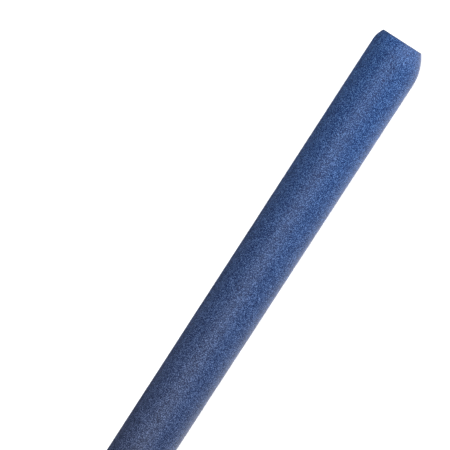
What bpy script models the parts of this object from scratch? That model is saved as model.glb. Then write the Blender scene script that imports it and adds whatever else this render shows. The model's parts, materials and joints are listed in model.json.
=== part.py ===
"""Pool noodle: one round extrusion of blue closed-cell foam with a hollow core, lying along X.

The real noodle is a single piece of foam, cut off at both ends. It is divided here into short
lengths with a bend zone between each two, so that it can flex sideways as the real one does.
Units are metres. +Z is up, z = 0 is the surface that it lies on, and the origin is under its middle.
"""

import math

import bmesh
import bpy
from mathutils import Vector

# The whole noodle
noodle_length = 1.600
outer_diameter = 0.070
core_diameter = 0.022
outer_sides = 32
core_sides = 16

# The cut ends. The blade drags the skin in where it enters, so the rim is drawn in deeper and
# further on that side of the noodle, which is its -Y side, and least on the side across from it.
draw_in_least = 0.0046
draw_in_most = 0.0121
rim_reach_least = 0.0156
rim_reach_most = 0.0360
rim_ring_count = 6

# How the one extrusion is divided so that it can flex. Each bend zone is long enough for its two
# neighbours to turn by the bend limit, with some foam left between them on the inside of the bend.
length_count = 25
bend_limit_degrees = 13.5
foam_left_inside_bend = 0.0036
face_gap = 0.0003

# Which length stays still when the noodle bends, and carries all the others
carrying_number = 4

# Blue polyethylene foam, as it looks in the light
foam_colour = (0.035, 0.085, 0.235, 1.0)
foam_roughness = 0.62
sharp_edge_degrees = 35.0


def corner_reach(diameter, sides):
    """Distance from the axis to a ring's corners, so that the flats between them touch the true circle."""
    return diameter / 2 / math.cos(math.pi / sides)


# Worked out from the sizes above
axis_height = outer_diameter / 2
pitch = noodle_length / length_count
end_at = noodle_length / 2
half_bend_limit = math.radians(bend_limit_degrees) / 2
outer_reach = corner_reach(outer_diameter, outer_sides)
bend_zone_length = 2 * outer_reach * math.tan(half_bend_limit) + foam_left_inside_bend
carrying_middle = end_at - pitch * (carrying_number - 0.5)


def joint_place(number):
    """X of the middle of a bend zone. Number 1 is the nearest to the +X end."""
    return end_at - pitch * number


def add_ring(mesh, sides, corner_at):
    """A closed ring of edges. corner_at gives a corner's place from its angle, measured from +Y to +Z."""
    step = 2 * math.pi / sides
    corners = [mesh.verts.new(corner_at(step / 2 + step * k)) for k in range(sides)]
    return [mesh.edges.new((corners[k - 1], corners[k])) for k in range(sides)]


def add_round_ring(mesh, x, diameter, sides):
    """A ring square to the noodle's axis."""
    reach = corner_reach(diameter, sides)
    return add_ring(mesh, sides, lambda angle: Vector((x, reach * math.cos(angle), reach * math.sin(angle))))


def add_rim_rings(mesh, end_x, way):
    """Rings of a drawn-in rim, from the full diameter to the cut face. way is 1 for an end that
    faces +X, and -1 for one that faces -X."""

    def corner_at(angle, share_left):
        most_share = (1 - math.cos(angle)) / 2
        draw_in = draw_in_least + (draw_in_most - draw_in_least) * most_share
        rim_reach = rim_reach_least + (rim_reach_most - rim_reach_least) * most_share
        # the skin leaves the straight side gently and curves in more and more steeply, as a parabola does
        radius = outer_reach - draw_in * (1 - share_left) ** 2
        x = end_x - way * rim_reach * share_left
        return Vector((x, radius * math.cos(angle), radius * math.sin(angle)))

    rings = []
    for step in range(rim_ring_count + 1):
        share_left = 1 - step / rim_ring_count
        rings.append(add_ring(mesh, outer_sides, lambda angle: corner_at(angle, share_left)))
    return rings


def foam_material(name):
    """Blue polyethylene foam."""
    material = bpy.data.materials.new(name + "_foam")
    material.use_nodes = True
    shader = material.node_tree.nodes["Principled BSDF"]
    shader.inputs["Base Color"].default_value = foam_colour
    shader.inputs["Roughness"].default_value = foam_roughness
    shader.inputs["Metallic"].default_value = 0
    material.diffuse_color = foam_colour
    return material


def add_foam(name, low_x, high_x, origin_x, low_rim=False, high_rim=False):
    """One stretch of the hollow foam from low_x to high_x, with its origin on the axis at origin_x."""
    mesh = bmesh.new()
    low, high = low_x - origin_x, high_x - origin_x
    outside = [] if low_rim else [add_round_ring(mesh, low, outer_diameter, outer_sides)]
    if low_rim:
        outside += reversed(add_rim_rings(mesh, low, -1))
    if high_rim:
        outside += add_rim_rings(mesh, high, 1)
    else:
        outside.append(add_round_ring(mesh, high, outer_diameter, outer_sides))
    core = [add_round_ring(mesh, x, core_diameter, core_sides) for x in (low, high)]
    for rings in (outside, core):
        for one, other in zip(rings, rings[1:]):
            bmesh.ops.bridge_loops(mesh, edges=one + other)
    for k in (0, -1):
        bmesh.ops.triangle_fill(mesh, edges=outside[k] + core[k], use_beauty=True)
    bmesh.ops.recalc_face_normals(mesh, faces=mesh.faces)

    data = bpy.data.meshes.new(name)
    mesh.to_mesh(data)
    mesh.free()
    data.shade_smooth()
    data.set_sharp_from_angle(angle=math.radians(sharp_edge_degrees))
    data.materials.append(foam_material(name))
    piece = bpy.data.objects.new(name, data)
    bpy.context.scene.collection.objects.link(piece)
    piece.location = (origin_x, 0, axis_height)
    return piece


def carry(piece, carrier):
    """Makes the carrier take the piece along when it turns."""
    piece.parent = carrier
    piece.location = piece.location - carrier_place[carrier.name]


# Start from an empty scene
for old in list(bpy.data.objects):
    bpy.data.objects.remove(old)

# The lengths. Each turns about the bend zone between it and the one that carries it, so its origin
# is there; the carrying length has its origin at its own middle.
lengths = {}
for number in range(1, length_count + 1):
    low_x = -end_at if number == length_count else joint_place(number) + bend_zone_length / 2
    high_x = end_at if number == 1 else joint_place(number - 1) - bend_zone_length / 2
    if number < carrying_number:
        origin_x = joint_place(number)
    elif number > carrying_number:
        origin_x = joint_place(number - 1)
    else:
        origin_x = carrying_middle
    name = f"foam_length_{number:02d}"
    lengths[number] = add_foam(name, low_x, high_x, origin_x, number == length_count, number == 1)

# The bend zones, one at each joint, each a face gap clear of both neighbours
zones = {}
for number in range(1, length_count):
    half = bend_zone_length / 2 - face_gap
    place = joint_place(number)
    zones[number] = add_foam(f"bend_zone_{number:02d}", place - half, place + half, place)

# Each bend zone rides on the length that turns there, and each length on its neighbour that is nearer
# to the carrying length
carrier_place = {piece.name: piece.location.copy() for piece in lengths.values()}
for number, zone in zones.items():
    carry(zone, lengths[number if number < carrying_number else number + 1])
for number, piece in lengths.items():
    if number != carrying_number:
        carry(piece, lengths[number + 1 if number < carrying_number else number - 1])
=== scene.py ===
# %% [markdown]
# # A pool noodle, dressed over its CAD frame
#
# The real thing is one long, round extrusion of closed-cell polyethylene foam with a hollow core, cut
# off at both ends. It has no seams, no fittings and no cover: its skin is the same foam, a little denser
# where it cooled against the die.
#
# The CAD frame divides it into short stiff lengths with a hinge between each two, so that it can bend.
# Here it becomes one smooth skin again: one stretch of foam for each hinge, reaching from the middle of
# one length to the middle of the next.

# %% Load the fixed frame
import json
import math

import bmesh
import bpy
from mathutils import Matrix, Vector, noise


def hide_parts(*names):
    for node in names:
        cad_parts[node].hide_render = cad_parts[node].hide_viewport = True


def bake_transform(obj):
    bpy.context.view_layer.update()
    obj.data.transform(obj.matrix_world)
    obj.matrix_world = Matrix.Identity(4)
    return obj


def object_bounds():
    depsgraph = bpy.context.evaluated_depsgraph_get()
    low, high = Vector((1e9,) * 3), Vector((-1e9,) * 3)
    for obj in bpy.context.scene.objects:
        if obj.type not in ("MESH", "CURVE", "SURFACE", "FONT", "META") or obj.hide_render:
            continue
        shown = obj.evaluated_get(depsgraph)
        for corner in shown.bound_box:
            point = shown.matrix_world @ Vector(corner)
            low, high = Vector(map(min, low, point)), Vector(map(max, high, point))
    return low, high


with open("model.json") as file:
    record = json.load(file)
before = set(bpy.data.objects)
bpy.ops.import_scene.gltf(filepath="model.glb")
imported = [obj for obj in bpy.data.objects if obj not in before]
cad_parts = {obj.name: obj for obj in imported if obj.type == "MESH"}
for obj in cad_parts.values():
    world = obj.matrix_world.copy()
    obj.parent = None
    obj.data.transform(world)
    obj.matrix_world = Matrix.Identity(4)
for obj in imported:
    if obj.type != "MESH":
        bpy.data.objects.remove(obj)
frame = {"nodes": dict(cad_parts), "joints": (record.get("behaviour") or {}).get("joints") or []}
cad_low, cad_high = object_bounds()
print("CAD box from", tuple(round(x, 4) for x in cad_low), "to", tuple(round(x, 4) for x in cad_high))

# %% [markdown]
# ## Sizes
#
# Everything is in metres, and the noodle lies along X on the surface z = 0. Its length and diameter are
# the frame's own box, and the hinges' places come from the frame as well, so that the skin can't drift
# away from what moves it. The core and the drawn-in rims repeat the CAD's numbers: the blade drags the
# skin in where it enters the foam, on the -Y side, and hardly where it leaves.

# %% Read the sizes
millimetre = 0.001

foam_radius = (cad_high.z - cad_low.z) / 2
axis_height = foam_radius
core_radius = 0.011
end_at = cad_high.x

draw_in_least = 0.0046
draw_in_most = 0.0121
rim_reach_least = 0.0156
rim_reach_most = 0.0360

hinges = sorted(frame["joints"], key=lambda hinge: -hinge["pos_m"][0])
hinge_x = [hinge["pos_m"][0] for hinge in hinges]
pitch = hinge_x[0] - hinge_x[1]
meeting_x = [(one + other) / 2 for one, other in zip(hinge_x, hinge_x[1:])]
lengths = sorted(name for name in frame["nodes"] if name.startswith("foam_length_"))
bend_zones = sorted(name for name in frame["nodes"] if name.startswith("bend_zone_"))
print(f"{end_at * 2:.3f} m long and {foam_radius * 2 / millimetre:.1f} mm across")
print(f"{len(hinges)} hinges, one every {pitch / millimetre:.1f} mm")

# %% [markdown]
# ## Camera
#
# The camera comes first, because the size of the foam's grain is judged through it. The photograph was
# taken from above with a long lens: the noodle's two sides are almost parallel. Its cut end is one dead
# straight line, so the camera stands straight above the cut. The height, the turn and the lens were fitted
# to the noodle's outline. Each of the picture's 450 pixels shows about 1.2 mm of the noodle.

# %% Place the camera
camera_height = 3.572
# tipped a few degrees back along the noodle, and turned so that the noodle rises to the right
camera_degrees = (-3.467, 3.429, -57.203)

camera = bpy.data.objects.new("camera", bpy.data.cameras.new("camera"))
camera.data.sensor_width = 36
camera.data.lens = 240
camera.data.clip_start = 0.1
camera.data.clip_end = 100
camera.location = (end_at, 0, camera_height)
camera.rotation_euler = [math.radians(degrees) for degrees in camera_degrees]
bpy.context.scene.collection.objects.link(camera)
bpy.context.scene.camera = camera
print("camera at", tuple(round(x, 3) for x in camera.location))

# %% [markdown]
# ## Materials in code
#
# Blender's materials are trees of nodes, and its colour sockets take linear light. Hex colours are sRGB,
# as a colour picker shows them, so one function turns them to linear. Another adds a node with its
# settings and links in one call, so that a material reads from top to bottom like a recipe.

# %% Help with colours and nodes
def linear(hex_colour):
    """An sRGB hex colour as the linear red, green, blue and alpha that Blender's sockets take."""
    shares = [int(hex_colour[k:k + 2], 16) / 255 for k in (1, 3, 5)]
    return tuple(s / 12.92 if s <= 0.04045 else ((s + 0.055) / 1.055) ** 2.4 for s in shares) + (1.0,)


def add_node(tree, kind, settings=None, by_number=None, **by_name):
    """Adds one node with its settings, and gives its inputs a value or another node's output to link to.
    by_name has an underscore for each space in an input's name, and by_number is for the nodes that have
    several inputs of one name."""
    node = tree.nodes.new(kind)
    for name, value in (settings or {}).items():
        setattr(node, name, value)
    inputs = {name.replace("_", " "): value for name, value in by_name.items()}
    inputs.update(by_number or {})
    for which, value in inputs.items():
        if isinstance(value, bpy.types.NodeSocket):
            tree.links.new(value, node.inputs[which])
        else:
            node.inputs[which].default_value = value
    return node


def new_material(name):
    """An empty material, and its node tree."""
    material = bpy.data.materials.new(name)
    material.use_nodes = True
    material.node_tree.nodes.clear()
    return material, material.node_tree


print("a middle grey of 808080 is", round(linear("#808080")[0], 3), "in linear light")

# %% [markdown]
# ## Floor
#
# The background of a shop photograph is a white sweep that throws no visible shadow, because it is lit
# from behind as well. Here it is a wide, flat, almost white floor that glows faintly itself.
#
# The noodle's left side stays dark in the photograph, so nothing white was near it there to be mirrored
# in the waxy skin, while the right edge does mirror something white. So the floor is two sheets of paper
# that meet under the noodle, and only the one on the -Y side shows in reflections.

# %% Build the floor
floor_reach = 30
floor_glow = 0.3
# the sheets lie a fraction of a millimetre below the foam, so that no two surfaces share a plane
sheet_height = -0.0002


def lay_sheet(name, low, high, material):
    """Lays a flat rectangle of paper on the ground, from its low corner to its high one."""
    mesh = bmesh.new()
    # a grid of size 0.5 reaches half a metre each way, so it is scaled by the sheet's own sides
    bmesh.ops.create_grid(mesh, x_segments=1, y_segments=1, size=0.5)
    bmesh.ops.scale(mesh, verts=mesh.verts, vec=(high[0] - low[0], high[1] - low[1], 1))
    middle = ((low[0] + high[0]) / 2, (low[1] + high[1]) / 2, sheet_height)
    bmesh.ops.translate(mesh, verts=mesh.verts, vec=middle)
    data = bpy.data.meshes.new(name)
    mesh.to_mesh(data)
    mesh.free()
    data.materials.append(material)
    sheet = bpy.data.objects.new(name, data)
    bpy.context.scene.collection.objects.link(sheet)
    return sheet


# matt paper has hardly any gloss, so the eye takes the floor for plain white and sees no horizon
paper, tree = new_material("white_paper")
shader = add_node(
    tree,
    "ShaderNodeBsdfPrincipled",
    Base_Color=linear("#FAFAFA"),
    Roughness=0.9,
    Emission_Color=linear("#FFFFFF"),
    Emission_Strength=floor_glow,
)
add_node(tree, "ShaderNodeOutputMaterial", Surface=shader.outputs["BSDF"])

lay_sheet("mirrored_sheet", (-floor_reach, -floor_reach), (floor_reach, 0), paper)
plain_sheet = lay_sheet("plain_sheet", (-floor_reach, 0), (floor_reach, floor_reach), paper)
plain_sheet.visible_glossy = False
print("floor", 2 * floor_reach, "m across")

# %% [markdown]
# ## Light
#
# Three soft lights fall on the noodle. The main one is almost straight overhead, and it makes the pale band
# along the middle. The second shines from far beyond the shown end, on the -Y side and about 25 degrees
# above the floor: it brightens the drawn-in rim and the right edge. The third is a small softbox close
# over the far half, on the +Y side. It draws the pale band to the left further down the picture, as in
# the photograph.
#
# The first two are suns. A sun that looks several degrees across is as soft as a big softbox, and it
# lights the whole floor alike.

# %% Light the scene
shown_middle = Vector((0.55, 0, axis_height))


def add_softbox(name, kind, place, power, **settings):
    """A soft light at a place, turned towards the middle of what the picture shows, and not itself seen."""
    lamp = bpy.data.lights.new(name, kind)
    lamp.energy = power
    for setting, value in settings.items():
        setattr(lamp, setting, value)
    light = bpy.data.objects.new(name, lamp)
    light.location = place
    light.rotation_euler = (Vector(place) - shown_middle).to_track_quat("Z", "Y").to_euler()
    light.visible_camera = False
    bpy.context.scene.collection.objects.link(light)


add_softbox("overhead", "SUN", place=(0.55, 0.14, 4.0), power=2.5, angle=math.radians(8))
add_softbox("shown_end", "SUN", place=(3.05, -1.6, 1.435), power=2.8, angle=math.radians(12))
add_softbox("far_half", "AREA", place=(-0.2, 0.5, 0.5), power=1.9, size=0.3)

# the studio beyond the floor is white to look at, but sends no light of its own
surround = bpy.data.worlds.new("surround")
surround.use_nodes = True
surround.node_tree.nodes.clear()
seen = add_node(surround.node_tree, "ShaderNodeLightPath").outputs["Is Camera Ray"]
white = add_node(surround.node_tree, "ShaderNodeBackground", Color=linear("#FFFFFF"), Strength=seen)
add_node(surround.node_tree, "ShaderNodeOutputWorld", Surface=white.outputs["Background"])
bpy.context.scene.world = surround
bpy.context.scene.view_settings.view_transform = "Standard"

# %% [markdown]
# ## The foam's skin
#
# Polyethylene foam is extruded: molten plastic full of gas leaves a round die and swells. Its skin is
# made of closed cells about 0.6 mm across, each a small dome. The cells differ a little in tone, and the
# palest are painted glints; each dome is also painted paler at its top and darker at its foot, a painted
# highlight with painted shade between the domes. So a plain blue noodle has a fine, sparkling grain. The
# plastic itself is waxy, and the domes spread its gloss into a soft, wide shine.
#
# The grain is a Voronoi pattern on Object coordinates, because it is the same in every direction and runs
# on from one stretch to the next without a seam. The colour is not even: it is a clear blue near the shown
# end, and further along it is painted greyer and darker, a painted shade with a grey sheen in it that comes
# a little sooner on the +Y side. A thin line of painted shade also darkens the skin next to each cut, along
# its rounded edge. Each point of the mesh carries these two as an attribute.

# %% Draw the skin's cells
cell_size = 0.6 * millimetre
cluster_size = 8 * millimetre
# a dome is flat out to the first share of its cell's size, and down at its foot at the second one
dome_top_share, dome_foot_share = 0.1, 0.8
# and this share of its height is left at its foot
foot_height_share = 0.2
# how much the loose clusters of paler cells add to what each cell has of its own
cluster_strength = 0.12

skin, tree = new_material("extruded_polyethylene_foam")
place = add_node(tree, "ShaderNodeTexCoord").outputs["Object"]
cells = add_node(tree, "ShaderNodeTexVoronoi", Vector=place, Scale=1 / cell_size)
shade_of_cell = add_node(tree, "ShaderNodeSeparateColor", Color=cells.outputs["Color"]).outputs["Red"]
# the dome's height also paints each cell paler at its top and darker at its foot: a painted glint on each
# dome and painted shade between them
dome_and_painted_glint = add_node(
    tree,
    "ShaderNodeMapRange",
    Value=cells.outputs["Distance"],
    From_Min=dome_top_share,
    From_Max=dome_foot_share,
    To_Min=1.0,
    To_Max=foot_height_share,
).outputs["Result"]
clusters = add_node(
    tree, "ShaderNodeTexNoise", Vector=place, Scale=1 / cluster_size, Detail=1.0
).outputs["Fac"]
grain_and_painted_glints = add_node(
    tree, "ShaderNodeMath", {"operation": "MULTIPLY"}, {0: shade_of_cell, 1: dome_and_painted_glint}
).outputs["Value"]
tone_and_painted_light = add_node(
    tree, "ShaderNodeMath", {"operation": "MULTIPLY_ADD"}, {0: clusters, 1: cluster_strength, 2: grain_and_painted_glints}
).outputs["Value"]
print("skin cells", cell_size / millimetre, "mm across")

# %% Colour the cells
# the walls between the cells, painted dark as shade between the domes, a common cell, and the palest ones,
# which are painted glints; and where each stands on a ramp
foam_colours = ("#0C2049", "#274883", "#8CBCFF")
# painted shade: the same three colours greyer and darker, with a grey sheen in them
painted_shade_colours = ("#11182C", "#2D3853", "#8C9AC8")
dark_stop, middle_stop, pale_stop = 0.08, 0.40, 0.92
# painted shade for the thin dark line along the rounded edge at each cut
painted_edge_shade_colour = linear("#14233F")

ramps = []
for dark, middle, pale in (foam_colours, painted_shade_colours):
    ramp = add_node(tree, "ShaderNodeValToRGB", Fac=tone_and_painted_light)
    stops = ramp.color_ramp.elements
    stops[0].position, stops[0].color = dark_stop, linear(dark)
    stops[1].position, stops[1].color = pale_stop, linear(pale)
    stops.new(middle_stop).color = linear(middle)
    ramps.append(ramp.outputs["Color"])
foam_colour, painted_shade_colour = ramps
painted_shade = add_node(tree, "ShaderNodeAttribute", {"attribute_name": "painted_shade"}).outputs["Fac"]
painted_edge_shade = add_node(tree, "ShaderNodeAttribute", {"attribute_name": "painted_edge_shade"}).outputs["Fac"]
# the colour goes over to the painted shade along the noodle and on its +Y side, and to the cut edge's
# painted shade next to a cut
# a Mix node's sixth and seventh inputs are its two colours, and its third output is the mixed one
along = add_node(tree, "ShaderNodeMix", {"data_type": "RGBA"}, {0: painted_shade, 6: foam_colour, 7: painted_shade_colour}).outputs[2]
colour = add_node(
    tree, "ShaderNodeMix", {"data_type": "RGBA"}, {0: painted_edge_shade, 6: along, 7: painted_edge_shade_colour}
).outputs[2]
print("skin colours:", *foam_colours, "and greyer", *painted_shade_colours)

# %% Finish the skin's material
dome_height = 0.16 * millimetre
polyethylene_ior = 1.5

bump = add_node(tree, "ShaderNodeBump", Height=dome_and_painted_glint, Distance=dome_height, Strength=1.0)
shader = add_node(
    tree,
    "ShaderNodeBsdfPrincipled",
    Base_Color=colour,
    Normal=bump.outputs["Normal"],
    Roughness=0.38,
    IOR=polyethylene_ior,
    Specular_IOR_Level=0.20,
)
add_node(tree, "ShaderNodeOutputMaterial", Surface=shader.outputs["BSDF"])
print("skin domes", dome_height / millimetre, "mm high, in", len(tree.nodes), "nodes")

# %% [markdown]
# ## The cut foam
#
# A blade opens the cells, so the cut ends have no skin: they are dull, a little paler than the skin, and
# full of small pits. Each opened cell's hollow is painted darker than its walls, and some hollows darker
# than others as if cut deeper: painted shade in the pits.

# %% Make the cut foam's material
open_cell_size = 1.5 * millimetre
# half a wall between two opened cells, as a share of a cell
half_wall_share = 0.25
wall_height = 0.3 * millimetre
# how much a cell's depth darkens its colour with painted shade, where its walls count for one
painted_pit_shade_strength = 0.55

cut, tree = new_material("cut_polyethylene_foam")
place = add_node(tree, "ShaderNodeTexCoord").outputs["Object"]
cells = add_node(tree, "ShaderNodeTexVoronoi", Vector=place, Scale=1 / open_cell_size)
painted_pit_shade_of_cell = add_node(tree, "ShaderNodeSeparateColor", Color=cells.outputs["Color"]).outputs["Red"]
rims = add_node(
    tree, "ShaderNodeTexVoronoi", {"feature": "DISTANCE_TO_EDGE"}, Vector=place, Scale=1 / open_cell_size
)
walls = add_node(
    tree,
    "ShaderNodeMapRange",
    Value=rims.outputs["Distance"],
    From_Min=0.0,
    From_Max=half_wall_share,
    To_Min=1.0,
    To_Max=0.0,
).outputs["Result"]
# the hollows painted darker than the walls, and the deeper ones darker still: painted shade in the pits
tone_and_painted_light = add_node(
    tree, "ShaderNodeMath", {"operation": "MULTIPLY_ADD"}, {0: painted_pit_shade_of_cell, 1: painted_pit_shade_strength, 2: walls}
).outputs["Value"]
ramp = add_node(tree, "ShaderNodeValToRGB", Fac=tone_and_painted_light)
ramp.color_ramp.elements[0].color = linear("#314D7E")
ramp.color_ramp.elements[1].color = linear("#6285BE")
bump = add_node(tree, "ShaderNodeBump", Height=walls, Distance=wall_height, Strength=1.0)
shader = add_node(
    tree,
    "ShaderNodeBsdfPrincipled",
    Base_Color=ramp.outputs["Color"],
    Normal=bump.outputs["Normal"],
    Roughness=0.75,
    IOR=polyethylene_ior,
)
add_node(tree, "ShaderNodeOutputMaterial", Surface=shader.outputs["BSDF"])
print("cut cells", open_cell_size / millimetre, "mm across")

# %% [markdown]
# ## The shape of the skin
#
# A stretch of noodle is a solid of revolution, so its profile, a rectangle in the plane of the axis, is
# spun once round the axis. That gives an exact round tube. Real foam is less exact: it swells and shrinks
# slowly along its length, and the skin has small lumps a few millimetres wide. Those are moved into the
# mesh after the spin, by one rule that gives the skin's radius at any place. Two neighbours use the same
# rule, so they meet exactly.

# %% Give the skin's radius at any place
swell_size = 0.045
swell_height = 0.00012
lump_size = 0.005
lump_height = 0.00007


def mix(low, high, share):
    """The number that is this share of the way from low to high."""
    return low + (high - low) * share


def drawn_in(x, angle):
    """How far the skin is drawn in towards the axis near a cut end."""
    most_share = (1 - math.cos(angle)) / 2
    reach = mix(rim_reach_least, rim_reach_most, most_share)
    share = max(0.0, 1 - (end_at - abs(x)) / reach)
    return mix(draw_in_least, draw_in_most, most_share) * share ** 2


def on_tube(x, angle, radius):
    """A point at this place along the noodle, angle round it (from +Y to +Z) and distance from its axis."""
    return Vector((x, radius * math.cos(angle), axis_height + radius * math.sin(angle)))


def place_on_tube(point):
    """The other way about: a point's place along the noodle, angle round it and distance from its axis."""
    y, z = point.y, point.z - axis_height
    return point.x, math.atan2(z, y), math.hypot(y, z)


def skin_radius(x, angle):
    """Distance from the axis to the skin, lumps and all."""
    there = on_tube(x, angle, foam_radius)
    # noise runs from -1 to 1, and the 1 taken off it keeps the skin inside the CAD's own
    swell = noise.noise(there / swell_size) - 1
    lump = noise.noise(there / lump_size) - 1
    return foam_radius - drawn_in(x, angle) + swell_height * swell + lump_height * lump


print("skin radius in the middle", round(skin_radius(0, 0) / millimetre, 2), "mm")

# %% [markdown]
# ## Plain tubes
#
# Only three plain tubes are spun: one for each end, and one that is copied for every stretch between
# them. The points on the outside are about a millimetre apart, close enough for the lumps.

# %% Spin the plain tubes
skin_step = 0.00125
core_step = 0.005
face_step = 0.0005
steps_round = round(2 * math.pi * foam_radius / skin_step)
# two points nearer to each other than this are one
same_place = 0.00001


def plain_tube(low_x, high_x, low_is_cut=False, high_is_cut=False):
    """A straight hollow tube. A cut face gets more rings of points, for the pits of the open cells."""
    mesh = bmesh.new()
    places = ((low_x, core_radius), (low_x, foam_radius), (high_x, foam_radius), (high_x, core_radius))
    corners = [mesh.verts.new((x, y, axis_height)) for x, y in places]
    core, low_face, outside, high_face = [mesh.edges.new((corners[k - 1], corners[k])) for k in range(4)]
    steps = {core: (high_x - low_x) / core_step, outside: (high_x - low_x) / skin_step}
    for face, is_cut in ((low_face, low_is_cut), (high_face, high_is_cut)):
        if is_cut:
            steps[face] = (foam_radius - core_radius) / face_step
    for edge, count in steps.items():
        bmesh.ops.subdivide_edges(mesh, edges=[edge], cuts=round(count) - 1)
    bmesh.ops.spin(
        mesh,
        geom=mesh.verts[:] + mesh.edges[:],
        cent=(0, 0, axis_height),
        axis=(1, 0, 0),
        angle=2 * math.pi,
        steps=steps_round,
        use_merge=True,
    )
    bmesh.ops.remove_doubles(mesh, verts=mesh.verts, dist=same_place)
    bmesh.ops.recalc_face_normals(mesh, faces=mesh.faces)
    return mesh


shown_end_tube = plain_tube(meeting_x[0], end_at, high_is_cut=True)
inner_tube = plain_tube(-pitch / 2, pitch / 2)
far_end_tube = plain_tube(-end_at, meeting_x[-1], low_is_cut=True)
print("points on the tubes:", [len(mesh.verts) for mesh in (shown_end_tube, inner_tube, far_end_tube)])

# %% [markdown]
# ## The cut ends
#
# The cut leaves the foam's two edges crisp, but not knife-sharp, so they get a small bevel. The face
# itself is full of opened cells: its points are sunk by a noise of the cells' size, and not at all next
# to the edges, which stay true.

# %% Finish a cut face
edge_rounding = 0.0003
pit_depth = 0.0004
# the pits reach their full depth this far in from an edge's rounding
true_border = 0.001
corner_angle = math.radians(45)


def is_at_cut(point):
    """Whether this point lies on the plane of a cut face."""
    return abs(point.co.x) > end_at - same_place


def finish_cut_face(mesh):
    """Bevels the outer and inner edge of a cut face and sinks the pits in it."""
    cut_edges = [
        edge
        for edge in mesh.edges
        if is_at_cut(edge.verts[0]) and is_at_cut(edge.verts[1]) and edge.calc_face_angle(0) > corner_angle
    ]
    bmesh.ops.bevel(
        mesh, geom=cut_edges, offset=edge_rounding, segments=2, profile=0.5, affect="EDGES", material=-1
    )
    for point in filter(is_at_cut, mesh.verts):
        x, angle, radius = place_on_tube(point.co)
        from_edge = min(radius - core_radius, skin_radius(x, angle) - radius)
        true_share = max(0.0, 1 - (from_edge - edge_rounding) / true_border)
        pit = pit_depth * max(0.0, noise.noise(point.co / open_cell_size)) * (1 - true_share)
        point.co.x -= math.copysign(pit, x)


print("pits up to", pit_depth / millimetre, "mm deep")

# %% [markdown]
# ## What the foam carries
#
# Each point of a finished stretch carries two shares of painted shade for the skin's material: how far the
# colour has gone to the greyer, darker one there, and how dark the line along a cut is there.
#
# Blender works out a smooth surface's normals from the faces round each point, and it can't see the
# neighbouring piece's faces, so at a meeting line the two pieces would be lit a little differently. The
# points there get their normals from the skin's rule itself, which is the same on both sides.

# %% Give what each point carries
# the X at which the painted shade starts, how much further along it is whole, and how much
# earlier that is on the +Y side
painted_shade_from, painted_shade_over, painted_shade_lean = 0.74, 0.60, 0.06
painted_edge_shade_reach = 0.0012
# a normal of no length means that Blender's own is kept
left_to_blender = Vector((0, 0, 0))


def painted_shade_share(point):
    """How far the painted shade has turned the blue greyer and darker: along the noodle, and sooner on the
    +Y side.
    """
    share = (painted_shade_from - point.x + painted_shade_lean * point.y / foam_radius) / painted_shade_over
    return min(1.0, max(0.0, share))


def painted_edge_shade_share(point):
    """How much painted shade darkens the skin next to a cut: wholly at the cut, and not at all a millimetre
    or so away.
    """
    return max(0.0, 1 - (end_at - abs(point.x)) / painted_edge_shade_reach)


def skin_normal(x, angle):
    """The direction that the skin faces at this place."""
    turn = skin_step / foam_radius
    along, around = [
        on_tube(x + dx, angle + turning, skin_radius(x + dx, angle + turning))
        - on_tube(x - dx, angle - turning, skin_radius(x - dx, angle - turning))
        for dx, turning in ((skin_step, 0), (0, turn))
    ]
    return around.cross(along).normalized()


def point_normal(point, low_x, high_x):
    """The skin's own normal where a stretch from low_x to high_x meets its neighbours."""
    x, angle, radius = place_on_tube(point)
    at_meeting = min(abs(x - low_x), abs(x - high_x)) < same_place and abs(x) < end_at - pitch
    on_skin = radius > (core_radius + foam_radius) / 2
    return skin_normal(x, angle) if at_meeting and on_skin else left_to_blender


print("pressed foam for", round(painted_edge_shade_reach / millimetre, 2), "mm from the cut")

# %% [markdown]
# ## One stretch
#
# A copy of a plain tube is moved to its place, and every point of it goes to where the lumpy, drawn-in
# foam has it: a point in the wall keeps its share of the way from the core to the skin. Faces that look
# along the noodle are cut foam, and the rest is skin.

# %% Shape one stretch of foam
# a face is cut foam if its normal reaches this far along X, out of 1
looks_along = 0.9
sharp_angle = math.radians(40)


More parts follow.
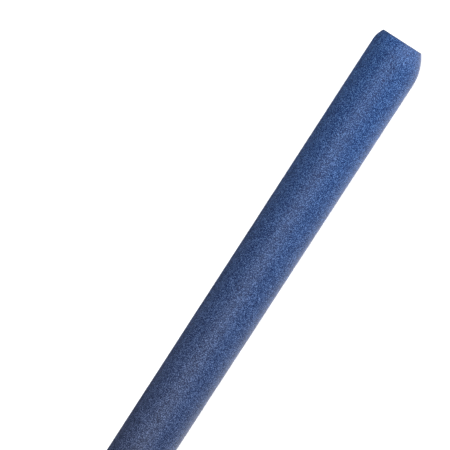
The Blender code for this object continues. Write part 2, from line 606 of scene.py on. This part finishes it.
def shape_foam(mesh):
    """Moves every point of a plain tube to where the real foam has it, and gives each face its material."""
    for point in mesh.verts:
        x, angle, radius = place_on_tube(point.co)
        share_out = (radius - core_radius) / (foam_radius - core_radius)
        point.co = on_tube(x, angle, mix(core_radius, skin_radius(x, angle), share_out))
    if any(map(is_at_cut, mesh.verts)):
        finish_cut_face(mesh)
    for face in mesh.faces:
        face.material_index = 1 if abs(face.normal.x) > looks_along else 0
        face.smooth = True


def foam_stretch(name, tube, middle_x, low_x, high_x):
    """One hollow stretch of the noodle, from low_x to high_x, made of a plain tube moved to middle_x."""
    mesh = tube.copy()
    bmesh.ops.translate(mesh, verts=mesh.verts, vec=(middle_x, 0, 0))
    shape_foam(mesh)
    data = bpy.data.meshes.new(name)
    mesh.to_mesh(data)
    mesh.free()
    data.materials.append(skin)
    data.materials.append(cut)
    data.set_sharp_from_angle(angle=sharp_angle)
    for attribute, share_at in (("painted_shade", painted_shade_share), ("painted_edge_shade", painted_edge_shade_share)):
        shares = [share_at(point.co) for point in data.vertices]
        data.attributes.new(attribute, "FLOAT", "POINT").data.foreach_set("value", shares)
    data.normals_split_custom_set_from_vertices(
        [point_normal(point.co, low_x, high_x) for point in data.vertices]
    )
    piece = bpy.data.objects.new(name, data)
    bpy.context.scene.collection.objects.link(piece)
    return piece


print("the wall is", round((foam_radius - core_radius) / millimetre, 1), "mm thick")

# %% [markdown]
# ## The whole noodle
#
# Each stretch sits over one hinge, from the middle of one length to the middle of the next. It stands
# for the length at its shown side and for the bend zone in it, and the last one for the last length too.
# It is solid foam.

# %% Make all the stretches
ends_x = [end_at] + meeting_x + [-end_at]
triangles = 0
for number in range(len(hinges)):
    high_x, low_x = ends_x[number], ends_x[number + 1]
    tube, middle_x = inner_tube, hinge_x[number]
    if number == 0:
        tube, middle_x = shown_end_tube, 0
    elif number == len(hinges) - 1:
        tube, middle_x = far_end_tube, 0
    stretch = foam_stretch(f"foam_stretch_{number + 1:02d}", tube, middle_x, low_x, high_x)
    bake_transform(stretch)
    covered = [lengths[number], bend_zones[number]]
    if number == len(hinges) - 1:
        covered.append(lengths[number + 1])
    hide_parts(*covered)
    triangles += sum(len(face.vertices) - 2 for face in stretch.data.polygons)
for tube in (shown_end_tube, inner_tube, far_end_tube):
    tube.free()
print(len(hinges), "stretches,", triangles, "triangles")
